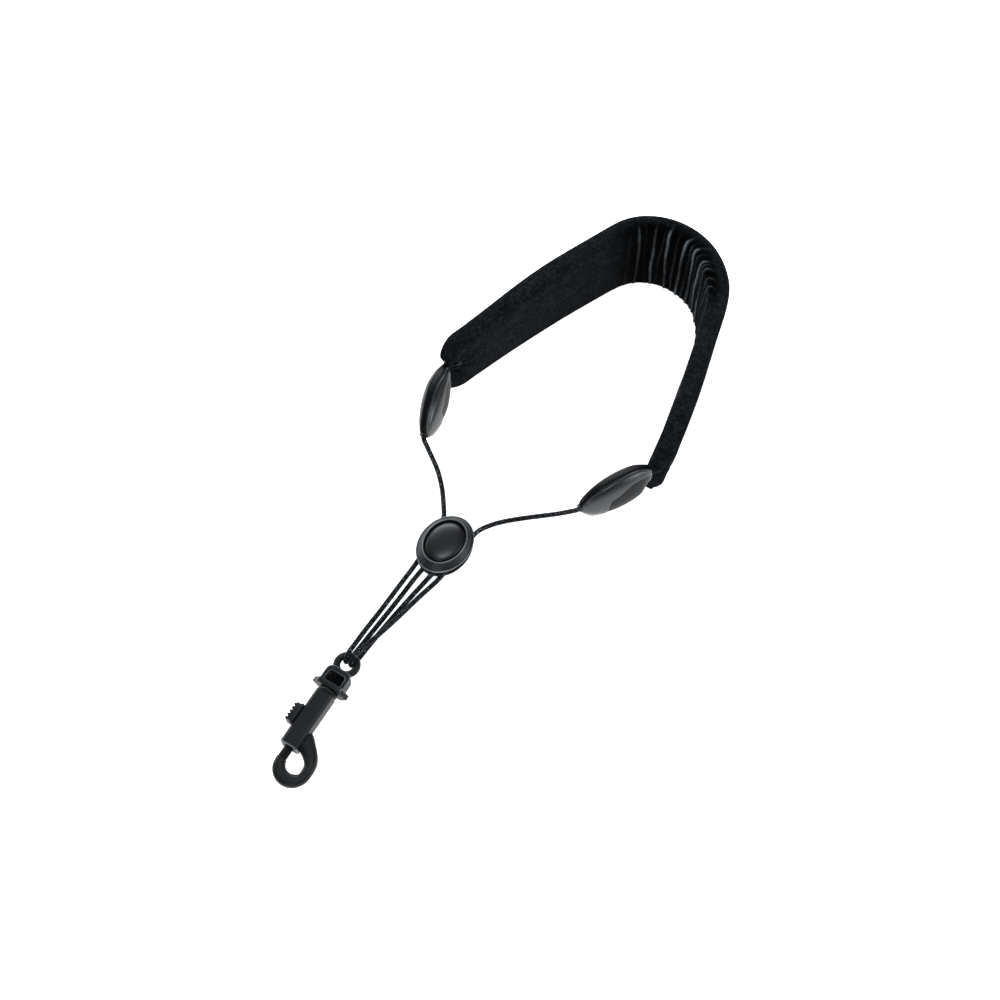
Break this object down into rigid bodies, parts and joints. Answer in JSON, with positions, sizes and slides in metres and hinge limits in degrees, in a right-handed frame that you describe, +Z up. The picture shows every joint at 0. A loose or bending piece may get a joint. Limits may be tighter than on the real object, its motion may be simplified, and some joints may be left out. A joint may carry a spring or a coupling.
{
  "type": "saxophone neck strap",
  "caption": "Padded neck strap for a saxophone: curved pad, leaf-shaped end caps, braided cord with a sliding oval adjuster, and a swivelling snap hook.",
  "frame": {"origin": "under the middle of the strap's box, on the table it lies on", "axes": "+Y from the hook to the back of the neck, +Z up from the table, +X across the strap"},
  "size_m": [0.1281, 0.3437, 0.0474],
  "materials": {
    "knit_fabric": "matte knit",
    "shell_fabric": "matte woven",
    "foam": "open-cell foam",
    "webbing": "woven polyester",
    "braided_cord": "braided polyester",
    "cap_plastic": "satin",
    "adjuster_plastic": "satin",
    "button_plastic": "semi-gloss",
    "hook_plastic": "fine moulded texture",
    "steel": "plain"
  },
  "bodies": {
    "band": {"pad_foam": "foam", "pad_cover_inner": "knit_fabric", "pad_cover_outer": "shell_fabric", "load_webbing": "webbing", "left_tab": "shell_fabric", "right_tab": "shell_fabric"},
    "left_cap": {"left_cap_inner_shell": "cap_plastic", "left_cap_outer_shell": "cap_plastic", "left_webbing_loop": "webbing", "left_webbing_pin": "steel", "left_cord_knot": "braided_cord", "upper_cord_left": "braided_cord"},
    "right_cap": {"right_cap_inner_shell": "cap_plastic", "right_cap_outer_shell": "cap_plastic", "right_webbing_loop": "webbing", "right_webbing_pin": "steel", "right_cord_knot": "braided_cord", "upper_cord_right": "braided_cord"},
    "adjuster": {"adjuster_bottom_shell": "adjuster_plastic", "adjuster_top_shell": "adjuster_plastic", "lock_spring": "steel", "lower_cord_left": "braided_cord", "lower_cord_right": "braided_cord"},
    "button": {"release_button": "button_plastic", "lock_bar": "steel"},
    "eye": {"swivel_eye": "hook_plastic"},
    "hook": {"hook_body": "hook_plastic", "swivel_rivet": "hook_plastic", "latch_spring": "steel"},
    "bolt": {"latch_bolt": "hook_plastic", "thumb_trigger": "hook_plastic"}
  },
  "joints": [
    {"name": "left_cap_swing", "type": "hinge", "parent": "band", "child": "left_cap", "pos_m": [-0.0589, 0.0444, 0.0195], "axis": [0, 0, 1], "range_deg": [-30, 20], "deforming": ["upper_cord_left"]},
    {"name": "right_cap_swing", "type": "hinge", "parent": "band", "child": "right_cap", "pos_m": [0.0586, 0.0536, 0.0195], "axis": [0, 0, 1], "range_deg": [-20, 30], "deforming": ["upper_cord_right"]},
    {"name": "adjuster_slide", "type": "slide", "parent": "band", "child": "adjuster", "axis": [0, -1, 0], "range_m": [-0.02, 0.04], "deforming": ["upper_cord_left", "upper_cord_right"]},
    {"name": "hook_travel", "type": "slide", "parent": "adjuster", "child": "eye", "axis": [0, -1, 0], "range_m": [-0.0205, 0.0105], "deforming": ["lower_cord_left", "lower_cord_right"]},
    {"name": "button_press", "type": "slide", "parent": "adjuster", "child": "button", "axis": [0, 0, -1], "range_m": [0, 0.0012], "stiffness_N_per_m": 900, "springref_m": -0.003, "deforming": ["lock_spring"]},
    {"name": "hook_swivel", "type": "hinge", "parent": "eye", "child": "hook", "pos_m": [-0.0055, -0.1228, 0.0055], "axis": [-0.061, 0.9981, 0], "continuous": true},
    {"name": "bolt_slide", "type": "slide", "parent": "hook", "child": "bolt", "axis": [-0.061, 0.9981, 0], "range_m": [0, 0.0062], "stiffness_N_per_m": 300, "springref_m": -0.006, "deforming": ["latch_spring"]}
  ],
  "couplings": [
    {"joint": "hook_travel", "follows": "adjuster_slide", "ratio": -0.5}
  ]
}
